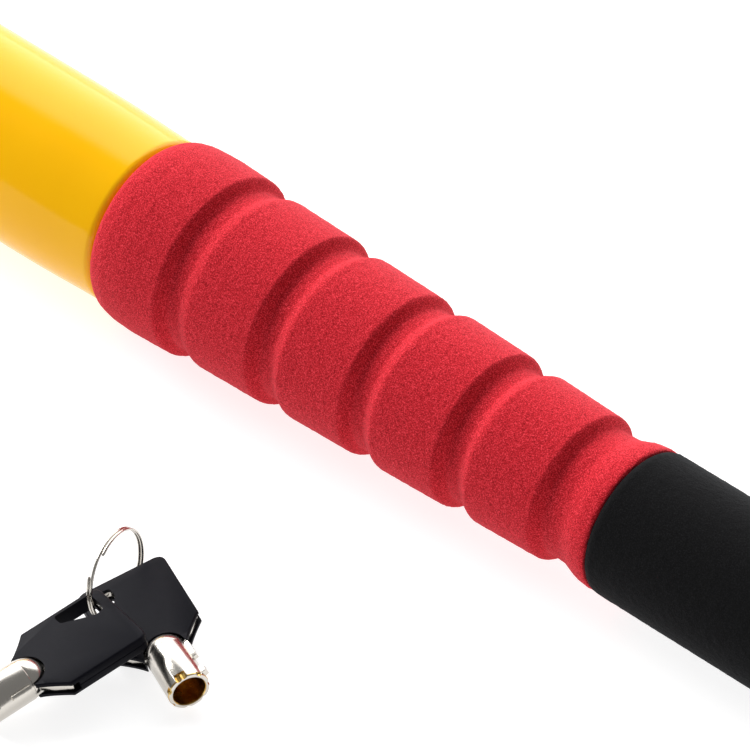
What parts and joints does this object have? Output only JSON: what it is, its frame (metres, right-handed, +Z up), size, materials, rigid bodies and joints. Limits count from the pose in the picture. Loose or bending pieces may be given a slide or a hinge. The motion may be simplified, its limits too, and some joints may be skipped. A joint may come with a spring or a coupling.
{
  "type": "steering wheel lock",
  "caption": "Bat-type car steering wheel lock: painted steel barrel with a sliding U-shackle and tubular cylinder, foam grips, and tubular keys on a split ring.",
  "frame": {"origin": "bottom centre of the whole object's box, on the surface that the bar and its keys lie on", "axes": "+X along the bar from its head to its butt, +Y across it on the shackle's side, +Z up"},
  "size_m": [0.57, 0.209, 0.0535],
  "materials": {
    "yellow_paint": "gloss",
    "red_foam": "matte closed-cell foam",
    "black_foam": "matte closed-cell foam",
    "black_plastic": "satin moulded",
    "steel": "zinc plated",
    "chrome": "bright nickel plate",
    "zinc": "die cast",
    "brass": "turned",
    "rubber": "matte",
    "spring_steel": "oiled"
  },
  "bodies": {
    "bar": {"barrel_tube": "yellow_paint", "handle_tube": "steel", "reducer_ring_inner": "steel", "reducer_ring_rear": "steel", "red_grip": "red_foam", "black_grip": "black_foam", "butt_cap": "black_plastic", "body_dowel_top": "steel", "body_dowel_bottom": "steel", "housing_dowel_top": "steel", "housing_dowel_bottom": "steel", "socket_dowel_top": "steel", "socket_dowel_bottom": "steel", "head_cap": "black_plastic", "lock_body": "chrome", "pawl_spring": "spring_steel", "pawl_housing": "zinc", "long_leg_bush_front": "zinc", "long_leg_bush_back": "zinc", "short_leg_bush": "zinc", "short_leg_socket": "zinc", "rim_pad": "rubber", "pad_screw_1": "steel", "pad_screw_2": "steel"},
    "plug": {"lock_plug": "chrome", "plug_circlip": "spring_steel", "cam_drum": "steel"},
    "pins": {"lock_pin_1": "brass", "lock_pin_2": "brass", "lock_pin_3": "brass", "lock_pin_4": "brass", "lock_pin_5": "brass", "lock_pin_6": "brass", "lock_pin_7": "brass"},
    "pawl": {"pawl": "steel", "follower_pin": "steel"},
    "shackle": {"shackle": "steel", "shackle_sleeve": "rubber", "stop_ring": "spring_steel"},
    "back_key": {"back_key_shank": "chrome", "back_key_bow": "black_plastic"},
    "front_key": {"front_key_shank": "chrome", "front_key_bow": "black_plastic"},
    "key_ring": {"split_ring": "chrome"}
  },
  "joints": [
    {"name": "shackle_slide", "type": "slide", "parent": "bar", "child": "shackle", "axis": [0, 0.9766, -0.2153], "range_m": [0, 0.072]},
    {"name": "plug_turn", "type": "hinge", "parent": "bar", "child": "plug", "pos_m": [-0.285, 0.02585, 0.02399], "axis": [1, 0, 0], "range_deg": [0, 90]},
    {"name": "pawl_slide", "type": "slide", "parent": "bar", "child": "pawl", "axis": [1, 0, 0], "range_m": [0, 0.004], "deforming": ["pawl_spring"]},
    {"name": "pins_press", "type": "slide", "parent": "plug", "child": "pins", "axis": [1, 0, 0], "range_m": [0, 0.0016], "stiffness_N_per_m": 400},
    {"name": "keys_lift", "type": "slide", "parent": "bar", "child": "back_key", "axis": [0, 0, 1], "range_m": [0, 0.06]},
    {"name": "front_key_swing", "type": "hinge", "parent": "back_key", "child": "front_key", "pos_m": [0.04363, -0.05637, 0.0117], "axis": [0.9702, 0.2186, 0.1045], "range_deg": [-45, 0]},
    {"name": "ring_turn", "type": "hinge", "parent": "back_key", "child": "key_ring", "pos_m": [0.04363, -0.05637, 0.0117], "axis": [0.9702, 0.2186, 0.1045], "range_deg": [-30, 30]}
  ],
  "couplings": [
    {"joint": "plug_turn", "follows": "pawl_slide", "rad_per_m": 392.7}
  ]
}
